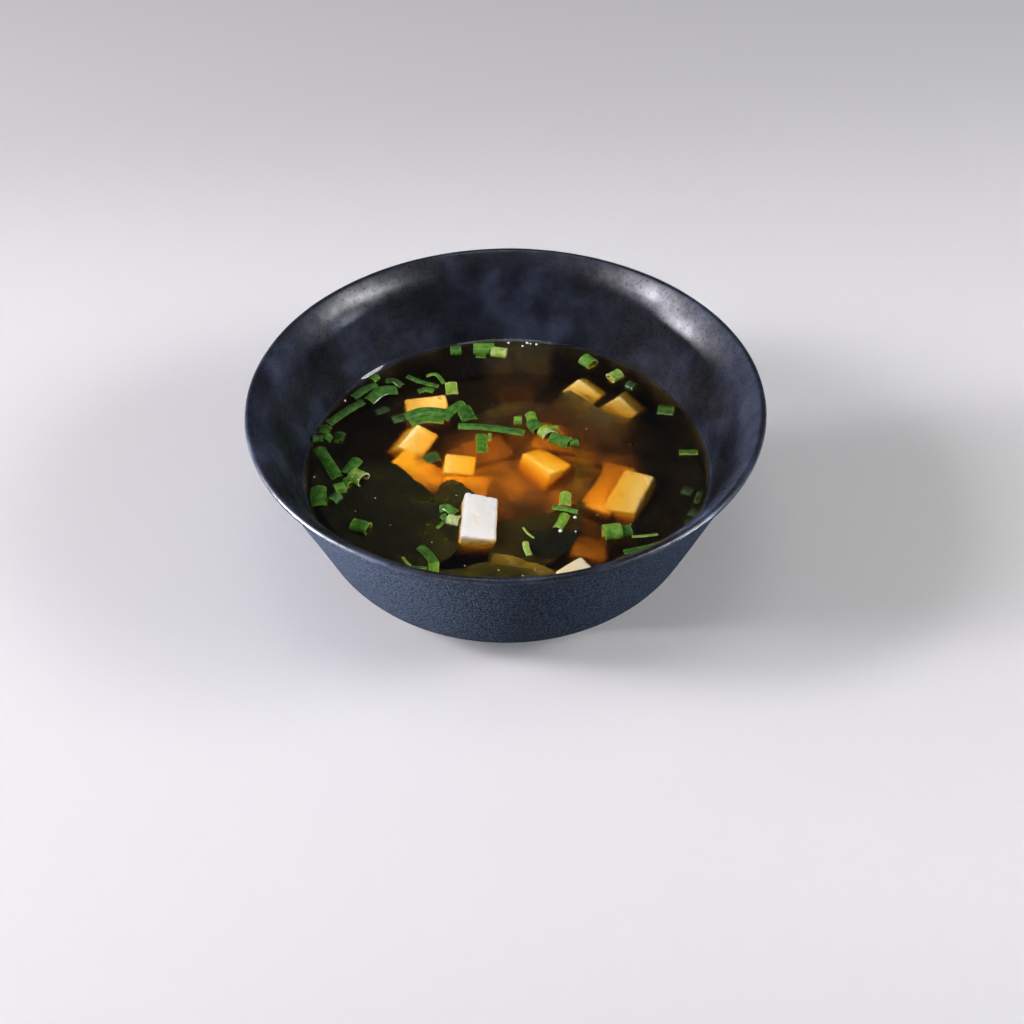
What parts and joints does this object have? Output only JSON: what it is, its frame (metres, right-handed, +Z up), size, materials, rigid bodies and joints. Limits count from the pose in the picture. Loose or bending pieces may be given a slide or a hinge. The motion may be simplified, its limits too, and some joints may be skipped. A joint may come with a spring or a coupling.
{
  "type": "miso soup",
  "caption": "Flared dark stoneware bowl on a foot ring, half full of clear brown soup with tofu dice, seaweed and sliced green onion.",
  "frame": {"origin": "centre of the bowl on the surface that its foot ring stands on", "axes": "+Z up along the bowl's axis, -Y the side that faces the viewer; all horizontal directions of the bowl are alike"},
  "size_m": [0.15, 0.15, 0.057],
  "materials": {
    "dark_stoneware": "satin glaze, dry and grainy outside",
    "broth": "clear brown liquid, wet surface",
    "tofu": "moist, soft sheen"
  },
  "bodies": {
    "root": {"bowl": "dark_stoneware", "broth": "broth", "tofu_front_left": "tofu", "tofu_back_left": "tofu", "tofu_back_right": "tofu", "tofu_far_right": "tofu", "tofu_front_right": "tofu", "tofu_left": "tofu", "tofu_mid_left": "tofu", "tofu_right": "tofu", "tofu_middle": "tofu"}
  },
  "joints": []
}
